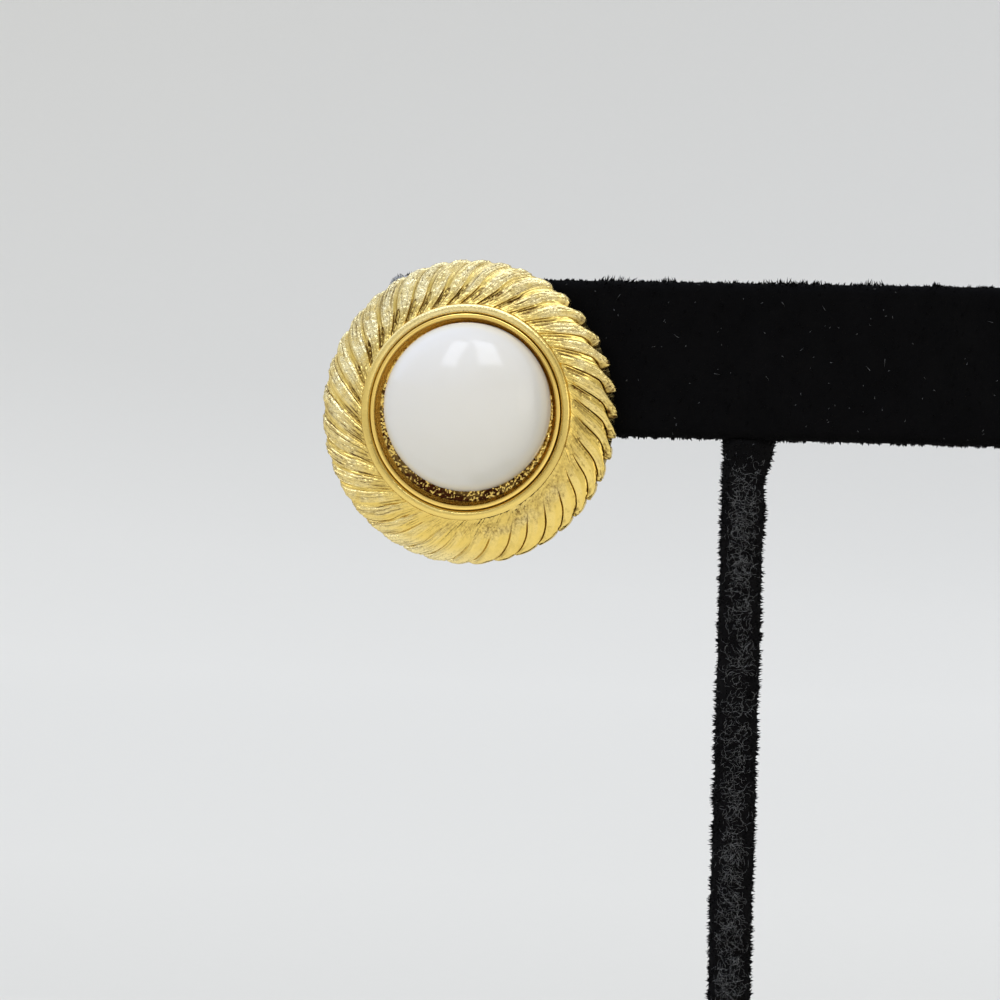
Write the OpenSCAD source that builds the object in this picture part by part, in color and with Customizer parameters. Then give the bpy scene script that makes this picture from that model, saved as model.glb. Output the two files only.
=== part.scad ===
// Clip-on earring, a fluted round button with a domed stone, clipped on a velvet-covered T-bar stand.
// Millimetres. X runs along the bar, the earring faces -Y and Z is up.
// The origin is the centre of the base's underside, right below the post.

/* [Earring] */
// Diameter over the tips of the ribs
earring_d = 35.2; // [34.6:0.1:36]
// Distance from the face of the bar to the widest circle of the band
band_edge_h = 1.4; // [1.1:0.1:1.6]
// Height of the band where it meets the smooth rim
band_inner_h = 3.25; // [3.0:0.05:3.4]
// Outer diameter of the smooth rim inside the band
rim_d = 24.9; // [24.6:0.1:25.1]
// Height of the top of the smooth rim
rim_h = 3.9; // [3.7:0.05:4.1]

/* [Ribs] */
// Number of ribs round the band
rib_count = 39; // [36:1:40]
// Angle that a rib sweeps clockwise on its way outward
rib_sweep = 20; // [14:0.5:23]
// Clockwise turn of the first rib from the top of the rim
rib_turn = 3.9; // [0:0.1:9]
// Depth of the valleys at the smooth rim
valley_depth_in = 0.75; // [0.4:0.05:0.85]
// Depth of the valleys at the tips
valley_depth_out = 0.46; // [0.2:0.02:0.5]

/* [Stone] */
// Diameter of the stone
stone_d = 19.4; // [18:0.1:19.5]
// Height of the stone above its widest circle
stone_crown = 6.4; // [4.5:0.1:7.5]
// Height of the widest circle above the cup's floor
stone_girdle = 1.5; // [1.2:0.1:1.8]
// How far the stone is set above the middle of the cup
stone_off_up = 0.55; // [0:0.05:0.6]
// How far the stone is set to the right of the middle of the cup
stone_off_side = 0.45; // [0:0.05:0.5]

/* [Stone cup] */
// Outer diameter of the cup's lip
cup_d = 22.6; // [22.4:0.05:22.65]
// Radius at the inner edge of the lip
lip_inner_r = 10.75; // [10.6:0.05:10.8]
// Radius of the stippled floor, at the foot of the sloping wall
floor_r = 10.35; // [10.3:0.01:10.4]
// Height of the top of the lip
lip_h = 3.8; // [3.7:0.05:3.9]
// Height of the floor under the stone
floor_h = 3.0; // [2.9:0.05:3.1]
// Thickness of the floor
floor_t = 0.9; // [0.7:0.1:1.0]

/* [Ear clip] */
// Thickness of the clip's metal
clip_t = 0.9; // [0.7:0.1:1.0]
// Width of the arm and the leaf
clip_w = 4.6; // [4:0.2:6]
// Diameter of the foot on the back of the cup
clip_foot_d = 11; // [9:0.5:12]
// Diameter of the pad behind the bar
clip_pad_d = 9; // [8:0.5:11]
// Height of the pad's centre above the earring's centre
clip_pad_up = 6; // [4:0.5:8]
// Distance of the foot's centre below the earring's centre
clip_foot_down = 4; // [3.5:0.25:4.5]

/* [Stand] */
// Length of the bar
bar_l = 84; // [76:1:100]
// Height of the bar
bar_h = 17.8; // [16:0.2:20]
// Thickness of the bar
bar_t = 6; // [5:0.5:7]
// Diameter of the post
post_d = 4.7; // [4:0.1:5.5]
// Length of the post between the base and the bar
post_l = 80; // [72:1:90]
// Width of the base
base_w = 70; // [64:1:90]
// Depth of the base
base_d = 50; // [46:1:70]
// Thickness of the base
base_t = 8; // [6:1:12]
// Distance of the earring's centre from the post's axis
earring_out = 31.5; // [29:0.5:32]
// Height of the earring's centre above the bar's underside
earring_up = 2.3; // [1.5:0.1:3]

/* [Hidden] */
$fn = 96;

gold = "#d9b45a";
white = "#eceae6";
velvet = "#141414";

// Heights are counted from the back plane of the earring, which lies on the face of the bar.
earring_z = base_t + post_l + earring_up;
bar_under = -earring_up;

// Band and rim of the frame
tip_r = earring_d / 2;
rib_pitch = 360 / rib_count;
rim_r = rim_d / 2;
cup_play = 0.12;
bore_r = cup_d / 2 + cup_play;
rim_round = 0.16;
rim_bore_round = 0.45;
// The cup's flange rests on the frame from behind at this height.
ledge_h = 1.9;

// Back of the frame: a rounded edge, a narrow flat ring that lies on the bar, and a hollow inside it
back_round_w = 0.75;
back_round_h = 0.45;
back_edge_r = tip_r - back_round_w;
back_flat_w = 0.7;
hollow_w = 1.9;
hollow_h = 1.5;
ledge_w = 1.3;

// A rib rises smoothly clockwise from its cleft and drops steeply into the next one. The columns are
// the place as a share of the rib's width, and the height as a share of the valleys' depth,
// at the rim and at the tips.
RIB_AT = 0;
RIB_INNER = 1;
RIB_OUTER = 2;
rib_section = [
    [0, 0, 0],
    [0.12, 0.04, 0.5],
    [0.3, 0.14, 0.8],
    [0.48, 0.55, 0.96],
    [0.66, 0.95, 1],
    [0.82, 1, 0.96],
    [0.94, 0.84, 0.9]
];
band_steps = [0, 0.08, 0.2, 0.34, 0.5, 0.66, 0.8, 0.92, 1];
// The pockets beside the rim close at this share of the way outward.
pocket_end = 0.5;
// The band bulges outward by this share of its width.
bulge = 0.18;
// Shares of a valley's depth that are cut inward at the tips, and no longer cut down there
tip_cut_in = 0.8;
tip_cut_saved = 0.55;
// A valley starts at the rim with this share of its depth, and is fully deep after this share of the way.
valley_start = 0.4;
valley_start_w = 0.1;
// Share of the sweep that is spread evenly over the band's section, so that the tips bend a little more
late_bend = 0.1;

// Shape of the stone
stone_r = stone_d / 2;
shoulder_r = 5.2;
shoulder_at = stone_r - shoulder_r;
// The crown's arc touches the shoulder's arc from outside it.
crown_gain = stone_crown - shoulder_r;
crown_drop = (shoulder_at * shoulder_at - crown_gain * crown_gain) / (2 * crown_gain);
crown_r = stone_crown + crown_drop;
crown_angle = atan2(shoulder_at, crown_drop);
arc_steps = 12;
stone_foot = 0.25;

// Cup
cup_r = cup_d / 2;
lip_w = cup_r - lip_inner_r;
lip_round = 0.3;
flange_w = 0.8;
flange_r = cup_r + flange_w;
flange_t = 0.5;
flange_h = ledge_h - flange_t;
cup_back_h = floor_h - floor_t;
cup_wall_w = 0.9;

// Clip
clip_gap = 0.4;
leaf_gap = 0.2;
clip_bend_r = 0.8;
arm_top = bar_under - clip_gap;
leaf_front = -bar_t - leaf_gap;
leaf_back = leaf_front - clip_t;

// Stand
bar_round = 1.2;
base_round = 4;

function mix(a, b, t) = a + (b - a) * t;

// The band is a quarter-round: s runs over its section, from 0 at the smooth rim to 1 at the tips.
function outward(s) = s + bulge * sin(180 * s);
function band_r(s) = rim_r + (tip_r - rim_r) * outward(s);
function band_h(s) = band_edge_h + (band_inner_h - band_edge_h) * cos(90 * pow(s, 1.5));

// Angle that the ribs have swept at s
function sweep(s) = rib_sweep * mix(outward(s), s, late_bend);
function section_row(i) = rib_section[i % len(rib_section)];

// Height of column i at s, as a share of the valleys' depth there
function rib_height(i, s) = let (row = section_row(i), t = min(1, s / pocket_end))
    mix(row[RIB_INNER], row[RIB_OUTER], t);

// Depth of the valleys at s
function valley_depth(s) = let (t = min(1, valley_start + s / valley_start_w))
    t * mix(valley_depth_in, valley_depth_out, s);

// How far the surface lies below the crest at column i
function sunk(i, s) = (1 - rib_height(i, s)) * valley_depth(s);

// Clockwise angle of column i on the plain rim
function column_angle(i) = rib_turn + (floor(i / len(rib_section)) + section_row(i)[RIB_AT]) * rib_pitch;

function on_ring(angle, r, h) = [r * sin(angle), r * cos(angle), h];

// One point of the band: near the tips the valleys cut inward, near the rim they cut down.
function band_point(i, s) = let (d = sunk(i, s))
    on_ring(
        column_angle(i) + sweep(s),
        band_r(s) - d * tip_cut_in * pow(s, 3),
        band_h(s) - d * (1 - tip_cut_saved * pow(s, 3))
    );

columns = rib_count * len(rib_section);

// Plain rings of the frame, as [radius, height, share of the rib sweep]: first those before the band
rim_rings = [
    [bore_r, ledge_h, 0],
    [bore_r, rim_h - rim_bore_round, 0],
    [bore_r + rim_round, rim_h - 0.75 * rim_round, 0],
    [(bore_r + rim_r) / 2, rim_h, 0],
    [rim_r - rim_round, rim_h - rim_round, 0]
];
// and then those behind it, on the way back to the bore
back_rings = [
    [tip_r - 0.55 * back_round_w, back_round_h, 1],
    [back_edge_r, 0, 1],
    [back_edge_r - back_flat_w, 0, 1],
    [back_edge_r - back_flat_w - hollow_w / 3, 0.6 * hollow_h, 0.7],
    [back_edge_r - back_flat_w - hollow_w, hollow_h, 0.4],
    [cup_r + ledge_w, ledge_h, 0]
];

function plain_ring(row) = [
    for (i = [0:columns - 1]) on_ring(column_angle(i) + sweep(row[2]), row[0], row[1])
];
function band_ring(s) = [for (i = [0:columns - 1]) band_point(i, s)];

frame_rings = concat(
    [for (row = rim_rings) plain_ring(row)],
    [for (s = band_steps) band_ring(s)],
    [for (row = back_rings) plain_ring(row)]
);

// Joins rings of points into a closed body, each ring to the next and the last to the first.
module ring_body(rings) {
    m = len(rings);
    n = len(rings[0]);
    points = [for (ring = rings, p = ring) p];
    faces = [for (j = [0:m - 1], i = [0:n - 1])
        let (next_i = (i + 1) % n, row = j * n, next_row = ((j + 1) % m) * n)
        let (a = row + i, b = row + next_i, c = next_row + i, d = next_row + next_i)
        each [[a, c, b], [b, c, d]]];
    polyhedron(points, faces);
}

// Places a shape that was drawn face up, with heights along Z, as the earring hangs on the bar.
module worn() {
    translate([-earring_out, -bar_t / 2, earring_z]) rotate([90, 0, 0]) children();
}

module rounded_rect(w, h, r) {
    square([w - 2 * r, h], center = true);
    square([w, h - 2 * r], center = true);
    for (x = [-1, 1], y = [-1, 1]) translate([x * (w / 2 - r), y * (h / 2 - r)]) circle(r);
}

module fluted_frame() {
    color(gold) worn() ring_body(frame_rings);
}

module stone_cup() {
    color(gold) worn() rotate_extrude() polygon([
        [0, cup_back_h],
        [cup_r - cup_wall_w, cup_back_h],
        [cup_r - cup_wall_w, flange_h],
        [flange_r, flange_h],
        [flange_r, ledge_h],
        [cup_r, ledge_h],
        [cup_r, lip_h - lip_round],
        [cup_r - 0.25 * lip_w, lip_h - 0.2 * lip_round],
        [cup_r - 0.5 * lip_w, lip_h],
        [cup_r - 0.8 * lip_w, lip_h - 0.25 * lip_round],
        [lip_inner_r, lip_h - lip_round],
        [floor_r, floor_h],
        [0, floor_h]
    ]);
}

module cabochon() {
    girdle_h = floor_h + stone_girdle;
    crown = [for (k = [0:arc_steps]) let (a = crown_angle * k / arc_steps)
        [crown_r * sin(a), girdle_h - crown_drop + crown_r * cos(a)]];
    shoulder = [for (k = [1:arc_steps]) let (a = crown_angle + (90 - crown_angle) * k / arc_steps)
        [shoulder_at + shoulder_r * sin(a), girdle_h + shoulder_r * cos(a)]];
    foot = [[stone_r, floor_h + stone_foot], [stone_r - stone_foot, floor_h], [0, floor_h]];
    color(white) worn() translate([stone_off_side, stone_off_up, 0])
        rotate_extrude() polygon(concat(crown, shoulder, foot));
}

// Side outline of the clip's arm and leaf, with heights toward the viewer as X and up as Y
module clip_outline() {
    arm_front = cup_back_h - clip_t / 2;
    arm_under = arm_top - clip_t;
    outer_r = clip_bend_r + clip_t;
    over = 1;
    throat = arm_front - leaf_front + over;
    difference() {
        translate([leaf_back, arm_under]) square([arm_front - leaf_back, clip_pad_up - arm_under]);
        translate([leaf_front, arm_top + clip_bend_r]) square([throat, clip_pad_up - arm_top]);
        translate([leaf_front + clip_bend_r, arm_top]) square([throat, 2 * clip_bend_r]);
        translate([leaf_front + clip_bend_r, arm_top + clip_bend_r]) circle(clip_bend_r);
        difference() {
            translate([leaf_back - over, arm_under - over]) square(outer_r + over);
            translate([leaf_back + outer_r, arm_under + outer_r]) circle(outer_r);
        }
    }
}

module ear_clip() {
    color(gold) worn() {
        translate([0, -clip_foot_down, cup_back_h - clip_t]) cylinder(d = clip_foot_d, h = clip_t);
        rotate([0, -90, 0]) linear_extrude(height = clip_w, center = true) clip_outline();
        translate([0, clip_pad_up, leaf_back]) cylinder(d = clip_pad_d, h = clip_t + leaf_gap);
    }
}

module stand_bar() {
    color(velvet) translate([0, 0, base_t + post_l + bar_h / 2]) rotate([90, 0, 90])
        linear_extrude(height = bar_l, center = true) rounded_rect(bar_t, bar_h, bar_round);
}

module stand_post() {
    color(velvet) translate([0, 0, base_t]) cylinder(d = post_d, h = post_l);
}

module stand_base() {
    color(velvet) linear_extrude(height = base_t) rounded_rect(base_w, base_d, base_round);
}

fluted_frame();
stone_cup();
cabochon();
ear_clip();
stand_bar();
stand_post();
stand_base();
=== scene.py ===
"""Clip-on earring with a fluted gold band and a domed white stone, worn by a velvet T-bar stand.

Everything is in metres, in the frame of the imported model: X runs along the bar, the earring faces -Y and
Z is up. On the earring itself, u runs to the right, v up and w toward the viewer, from the plane of the
bar's face.
"""

import functools
import math
from types import SimpleNamespace

import bmesh
import bpy
import numpy as np
from bpy.props import FloatProperty, FloatVectorProperty, IntProperty, PointerProperty
from mathutils import Matrix, Vector


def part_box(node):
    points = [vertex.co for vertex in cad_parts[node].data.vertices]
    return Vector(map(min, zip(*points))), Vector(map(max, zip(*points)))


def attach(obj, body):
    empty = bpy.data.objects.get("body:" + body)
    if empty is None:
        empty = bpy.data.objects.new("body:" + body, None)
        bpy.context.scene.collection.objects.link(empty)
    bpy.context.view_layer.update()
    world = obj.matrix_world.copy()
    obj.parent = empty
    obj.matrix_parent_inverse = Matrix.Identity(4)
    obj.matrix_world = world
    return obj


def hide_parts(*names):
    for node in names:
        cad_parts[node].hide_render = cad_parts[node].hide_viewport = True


bl_info = {
    "name": "Velvet Stand Earring",
    "version": (1, 0, 0),
    "blender": (4, 5, 0),
    "location": "View3D > Sidebar > Earring",
    "description": "Builds a fluted clip-on earring on a velvet T-bar stand, with its studio",
    "category": "Add Mesh",
}

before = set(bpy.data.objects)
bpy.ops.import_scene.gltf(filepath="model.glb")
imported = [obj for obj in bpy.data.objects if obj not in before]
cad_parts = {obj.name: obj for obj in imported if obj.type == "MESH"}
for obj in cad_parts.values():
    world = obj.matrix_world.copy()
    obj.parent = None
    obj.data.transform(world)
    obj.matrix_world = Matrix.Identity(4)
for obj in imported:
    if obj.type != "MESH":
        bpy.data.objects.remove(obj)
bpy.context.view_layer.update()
MM = 0.001


def node_box(name):
    """Lowest and highest corner of a CAD node, as numpy arrays."""
    low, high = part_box(name)
    return np.array(low), np.array(high)


CUP_LOW, CUP_HIGH = node_box("stone_cup")
FRAME_LOW, FRAME_HIGH = node_box("fluted_frame")
STONE_LOW, STONE_HIGH = node_box("cabochon")
BAR_LOW, BAR_HIGH = node_box("stand_bar")
POST_LOW, POST_HIGH = node_box("stand_post")
BASE_LOW, BASE_HIGH = node_box("stand_base")

# The middle of the earring, on the plane of the bar's face, and the radius of the ribs' tips
MIDDLE = np.array([(CUP_LOW[0] + CUP_HIGH[0]) / 2, FRAME_HIGH[1], (CUP_LOW[2] + CUP_HIGH[2]) / 2])
TIP_R = float(max(FRAME_HIGH[0] - MIDDLE[0], MIDDLE[0] - FRAME_LOW[0]))
# Heights over that plane, toward the viewer
RIM_H = float(MIDDLE[1] - FRAME_LOW[1])
LIP_H = float(MIDDLE[1] - CUP_LOW[1])
STONE_H = float(MIDDLE[1] - STONE_LOW[1])
FLOOR_H = float(MIDDLE[1] - STONE_HIGH[1])
LEAF_H = float(MIDDLE[1] - node_box("ear_clip")[1][1])


# Sizes and colours that a user may change


class RibSizes(bpy.types.PropertyGroup):
    """Sizes of the ribs and of their fine relief"""

    count: IntProperty(name="Ribs", description="Number of ribs round the band", default=39, min=12, max=60)
    sweep: FloatProperty(
        name="Sweep",
        description="Clockwise turn of a rib on its way outward",
        default=math.radians(20),
        subtype="ANGLE",
    )
    turn: FloatProperty(
        name="Turn",
        description="Clockwise place of the first rib",
        default=math.radians(3.9),
        subtype="ANGLE",
    )
    depth_in: FloatProperty(
        name="Depth at the rim",
        description="Depth of the valleys at the rim",
        default=0.36 * MM,
        unit="LENGTH",
    )
    depth_out: FloatProperty(
        name="Depth at the tips",
        description="Depth of the valleys at the tips",
        default=0.38 * MM,
        unit="LENGTH",
    )
    tip_cut: FloatProperty(
        name="Tip cut",
        description="How far the edge is drawn in between the tips",
        default=0.42 * MM,
        unit="LENGTH",
    )
    notch: FloatProperty(
        name="Notch",
        description="Depth of the notches between the tips on the right",
        default=1.4 * MM,
        unit="LENGTH",
    )
    grain: FloatProperty(
        name="Grain", description="Height of the stippled ground", default=0.07 * MM, unit="LENGTH"
    )
    streak: FloatProperty(
        name="Streak",
        description="Height of the uneven lines along the ribs",
        default=0.04 * MM,
        unit="LENGTH",
    )
    engraving: FloatProperty(
        name="Engraving",
        description="Height of the even lines along the ribs",
        default=0.026 * MM,
        unit="LENGTH",
    )


class BandSizes(bpy.types.PropertyGroup):
    """Sizes of the band, its rim and the cup"""

    edge_h: FloatProperty(
        name="Edge height", description="Height of the widest circle", default=1.4 * MM, unit="LENGTH"
    )
    inner_h: FloatProperty(
        name="Inner height", description="Height of the band beside the rim", default=3.25 * MM, unit="LENGTH"
    )
    rim_r: FloatProperty(
        name="Rim radius", description="Outer radius of the smooth rim", default=12.45 * MM, unit="LENGTH"
    )
    bore_r: FloatProperty(
        name="Bore radius",
        description="Radius of the opening that holds the cup",
        default=11.42 * MM,
        unit="LENGTH",
    )
    lip_r: FloatProperty(
        name="Lip radius", description="Outer radius of the cup's lip", default=11.3 * MM, unit="LENGTH"
    )
    lip_inner_r: FloatProperty(
        name="Inner lip radius",
        description="Radius at the inner edge of the lip",
        default=10.76 * MM,
        unit="LENGTH",
    )
    floor_r: FloatProperty(
        name="Floor radius",
        description="Radius of the cup's stippled floor",
        default=10.35 * MM,
        unit="LENGTH",
    )


class VelvetSizes(bpy.types.PropertyGroup):
    """Length, width and number of the velvet's fibres"""

    pile: FloatProperty(
        name="Pile",
        description="Length of the velvet's fibres",
        default=0.42 * MM,
        unit="LENGTH",
    )
    fibre: FloatProperty(
        name="Fibre width", description="Width of a fibre at its root", default=0.13 * MM, unit="LENGTH"
    )
    bar_fibres: IntProperty(name="Fibres on the bar", description="Fibres on the bar", default=43000)
    post_fibres: IntProperty(name="Fibres on the post", description="Fibres on the post", default=24000)
    base_fibres: IntProperty(name="Fibres on the base", description="Fibres on the base", default=42000)


class Finishes(bpy.types.PropertyGroup):
    """Colours of the gold, the stone, the velvet and the paper"""

    gold: FloatVectorProperty(
        name="Gold", description="Polished gold plate", default=(0.78, 0.565, 0.145), subtype="COLOR"
    )
    # The stippled gold is also the pale tone that paints highlights on the band and the rim.
    ground: FloatVectorProperty(
        name="Stippled gold",
        description="Stippled ground between the ribs",
        default=(0.87, 0.76, 0.42),
        subtype="COLOR",
    )
    cup: FloatVectorProperty(
        name="Cup gold", description="Gold of the cup's lip", default=(0.86, 0.60, 0.16), subtype="COLOR"
    )
    # The cup wall is gold made brighter and more orange: a painted reflection of the white stone and the gold
    # round it.
    cup_wall_painted_reflection: FloatVectorProperty(
        name="Cup wall", description="Deeper gold inside the cup", default=(1.0, 0.56, 0.07), subtype="COLOR"
    )
    dirt: FloatVectorProperty(
        name="Cup patina",
        description="Dark brown of the cup's floor",
        default=(0.045, 0.012, 0.004),
        subtype="COLOR",
    )
    patina: FloatVectorProperty(
        name="Patina",
        description="Brown tarnish in the clefts",
        default=(0.09, 0.036, 0.004),
        subtype="COLOR",
    )
    stone: FloatVectorProperty(
        name="Stone", description="Glossy white of the stone", default=(0.62, 0.59, 0.522), subtype="COLOR"
    )
    velvet: FloatVectorProperty(
        name="Velvet", description="Black of the pile", default=(0.0017, 0.0016, 0.0016), subtype="COLOR"
    )
    # The lint tone also paints sheen: the pale hairs at the bar's corner and the curls down the post's front.
    lint: FloatVectorProperty(
        name="Lint", description="Pale hairs caught in the pile", default=(0.6, 0.6, 0.58), subtype="COLOR"
    )
    paper: FloatVectorProperty(
        name="Paper", description="Pale studio paper", default=(0.915, 0.872, 0.75), subtype="COLOR"
    )


SETTINGS = {"rib_sizes": RibSizes, "band_sizes": BandSizes, "velvet_sizes": VelvetSizes, "finishes": Finishes}


# Noise and easing


def lattice(cells, seed):
    """A fixed random number from 0 to 1 for each whole cell."""
    x, y, z = (cells[..., k].astype(np.int64) for k in range(3))
    h = (x * 374761393 + y * 668265263 + z * 1274126177 + seed * 974634777) & 0xFFFFFFFF
    h = ((h ^ (h >> 13)) * 1103515245) & 0xFFFFFFFF
    h = ((h ^ (h >> 15)) * 2246822519) & 0xFFFFFFFF
    return ((h >> 8) & 0xFFFF) / 65535.0


def grain(points, cell, seed):
    """Smooth noise from -1 to 1 whose grains are about cell wide."""
    p = points / cell
    low = np.floor(p)
    f = p - low
    f = f * f * (3 - 2 * f)
    total = 0
    for corner in np.ndindex(2, 2, 2):
        c = np.array(corner)
        weight = np.prod(np.where(c == 1, f, 1 - f), axis=-1)
        total = total + weight * lattice(low + c, seed)
    return total * 2 - 1


def ease(low, high, x):
    """0 below low, 1 above high, smooth between."""
    t = np.clip((x - low) / (high - low), 0, 1)
    return t * t * (3 - 2 * t)


def bell(x, middle, width):
    """1 at middle, falling smoothly to 0 on either side."""
    return np.exp(-(((x - middle) / width) ** 2))


def blend(a, b, t):
    """a where t is 0, b where it is 1, and in even steps between."""
    return a + (b - a) * t


# Meshes


def on_earring(u, v, w):
    """Points of the earring, from right, up and toward the viewer."""
    return np.stack([MIDDLE[0] + u, MIDDLE[1] - w, MIDDLE[2] + v], -1)


def turned(angle, radius, level):
    """Points round the earring's axis, from their clock angle, radius and height."""
    return on_earring(radius * np.sin(angle), radius * np.cos(angle), level)


def circle(columns):
    """Even angles round a circle, in radians."""
    return np.arange(columns) / columns * 2 * np.pi


def by_column(rows, columns):
    """The numbers of each row, repeated over the columns: one array for each number of a row."""
    return (np.array(part)[:, None] * np.ones(columns) for part in zip(*rows))


def ring_faces(rings, columns, close=False):
    """Quads that join each ring of points to the next, and the last to the first where close is set."""
    j = np.arange(rings if close else rings - 1)[:, None]
    i = np.arange(columns)[None, :]
    after, beside = (j + 1) % rings, (i + 1) % columns
    a, b, c, d = j * columns + i, j * columns + beside, after * columns + i, after * columns + beside
    return np.stack([a, b, d, c], -1).reshape(-1, 4)


def fan_faces(centre, start, columns, flip):
    """Triangles from a centre point to the ring whose points begin at start."""
    a = start + np.arange(columns)
    b = start + (np.arange(columns) + 1) % columns
    return np.stack([np.full(columns, centre), b, a] if flip else [np.full(columns, centre), a, b], -1)


def lathe_faces(rings, columns, flip):
    """Faces of a turned solid whose two last points close its first and last rings."""
    sides = ring_faces(rings, columns)
    first = fan_faces(rings * columns, 0, columns, not flip)
    last = fan_faces(rings * columns + 1, (rings - 1) * columns, columns, flip)
    return [*(sides[:, ::-1] if flip else sides), *first, *last]


def end_caps(rings, columns):
    """One face over the first ring and one over the last."""
    return [tuple(range(columns))[::-1], tuple((rings - 1) * columns + i for i in range(columns))]


def smooth(mesh):
    """Shades a mesh smoothly."""
    mesh.polygons.foreach_set("use_smooth", np.ones(len(mesh.polygons), bool))


def new_mesh(name, verts, faces, masks=None):
    """A smooth mesh from arrays; masks are named numbers per vertex that its material reads."""
    mesh = bpy.data.meshes.new(name)
    mesh.from_pydata([tuple(p) for p in verts], [], [tuple(int(i) for i in f) for f in faces])
    mesh.update()
    smooth(mesh)
    for mask, values in (masks or {}).items():
        layer = mesh.attributes.new(mask, "FLOAT", "POINT")
        layer.data.foreach_set("value", np.asarray(values, np.float32).ravel())
    return mesh


def add_object(name, data, material=None):
    """A new object in the scene, with a material where one is given."""
    if material:
        data.materials.append(material)
    thing = bpy.data.objects.new(name, data)
    bpy.context.scene.collection.objects.link(thing)
    return thing


def settle(name, mesh, material, node):
    """Sets a finished piece on the object in place of its CAD node."""
    piece = add_object(name, mesh, material)
    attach(piece, "root")
    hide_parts(node)


# The fluted band

RIB_COLUMNS = 30
# Rows from the rim to the widest circle, of which some round the edge and some run down it
BAND_ROWS, ROUND_ROWS, EDGE_ROWS = 62, 9, 4


def rib_columns():
    """Places of the columns across one rib, closer together at the cleft."""
    t = np.arange(RIB_COLUMNS) / RIB_COLUMNS
    return t - 0.09 * np.sin(2 * np.pi * t)


def rib_drift(angle):
    """How far the cast ribs wander from an even pitch, in radians."""
    return np.radians(
        -0.2
        + 3.1 * np.cos(angle)
        - 0.3 * np.cos(2 * angle)
        - 0.9 * np.sin(2 * angle)
        - 1.8 * np.cos(3 * angle)
        - 0.3 * np.sin(3 * angle)
    )


def around(angle, middle, reach):
    """1 at the clock angle middle, fading to 0 at reach to either side, both in degrees."""
    off = np.degrees(np.abs((angle - math.radians(middle) + np.pi) % (2 * np.pi) - np.pi))
    return 0.5 + 0.5 * np.cos(np.pi * np.clip(off / reach, 0, 1))


def rib_section(t, rib):
    """Height across a rib as a share of the valleys' depth, with t clockwise from cleft to cleft."""
    climb = np.sin(0.5 * np.pi * np.clip(t / rib["crest"], 0, 1))
    rise = rib["low"] + (1 - rib["low"]) * blend(climb**0.9, climb**2, rib["soft"])
    beyond = np.clip((t - rib["crest"]) / (1 - rib["crest"]), 0, 1)
    fall = 1 - (1 - rib["far"]) * beyond**1.5
    # Where the casting is soft, the far side runs down into the valley instead of breaking off.
    fall = blend(fall, rib["low"], rib["soft"] * ease(0.74, 1.0, t))
    # The cleft is a narrow V, steeper on the side of the stippled ground.
    near = np.minimum(t / 0.075, (1 - t) / 0.05)
    return np.minimum(rise, fall), 1 - ease(0, 1, near)


def pocket_section(t, out, rib):
    """How deep the leaf-shaped hollow beside the rim is, from 0 to 1."""
    along = np.clip(out / rib["pocket"], 0, 1)
    half = 0.5 * rib["pocket_w"] * np.sqrt(np.sin(np.pi * (0.14 + 0.86 * along)) + 1e-6)
    off = np.abs(t - 0.05 - 0.5 * rib["pocket_w"]) / half
    return ease(0.02, 0.14, along) * (1 - ease(0.86, 1.0, along)) * (1 - ease(0.66, 1.0, off))


def band_curve(band):
    """The band's own section, from the rim to the widest circle: share outward, radius, height and lean."""
    slope = math.radians(12)
    round_r = 0.4 * MM
    steep = math.radians(88)
    straight_r = TIP_R - round_r * (math.sin(steep) - math.sin(slope))
    straight_h = band.inner_h - (straight_r - band.rim_r) * math.tan(slope)
    k = np.linspace(0, 1, BAND_ROWS - ROUND_ROWS - EDGE_ROWS)
    k = k - 0.02 * np.sin(2 * np.pi * k)
    radius = list(blend(band.rim_r, straight_r, k))
    height = list(blend(band.inner_h, straight_h, k))
    lean = [slope] * len(k)
    for a in np.linspace(slope, steep, ROUND_ROWS + 1)[1:]:
        radius.append(straight_r + round_r * (math.sin(a) - math.sin(slope)))
        height.append(straight_h - round_r * (math.cos(slope) - math.cos(a)))
        lean.append(a)
    for h in np.linspace(height[-1], band.edge_h, EDGE_ROWS + 1)[1:]:
        radius.append(TIP_R)
        height.append(h)
        lean.append(math.radians(90))
    radius, height, lean = (np.array(part)[:, None] for part in (radius, height, lean))
    return (radius - band.rim_r) / (TIP_R - band.rim_r), radius, height, lean


# Stretches of the band that are cast or worn in a way of their own, or where light or shade is painted: the
# clock angle of the middle, and how far they fade out to either side, in degrees
STRETCHES = {
    "upper_left": (318, 85),
    "top": (10, 95),
    "right": (88, 75),
    "lower": (165, 85),
    "left": (262, 80),
    "cleft_right": (112, 90),
    "cleft_low": (203, 42),
    "slots": (55, 70),
    "teeth": (74, 46),
    "lobes": (148, 60),
    "shallow": (50, 60),
    "flat": (222, 55),
    "skirt": (155, 72),
    "speckled": (40, 60),
    "wide_ground": (245, 45),
    "rough_foot": (140, 50),
    "dull_foot": (155, 75),
    "yellow_left": (245, 48),
    "yellow_right": (45, 55),
    # Painted highlights on the outer edge, at the top and at the bottom
    "worn_top": (335, 110),
    "worn_low": (200, 45),
    "bright_hollows": (340, 50),
    "scored_top": (30, 60),
    "scored_left": (245, 40),
    "scored_low": (203, 38),
    "film_right": (120, 55),
    "film_low": (158, 45),
    "film_left": (247, 45),
    "film_top": (28, 42),
}
SKIRT_SLOPE = math.radians(27)


def rim_skirt(band, radius):
    """Height of the slope by which the rim runs out over the ribs along the bottom."""
    start = band.bore_r + 0.62 * (band.rim_r - band.bore_r)
    return RIM_H - math.tan(SKIRT_SLOPE) * (radius - start)


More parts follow.
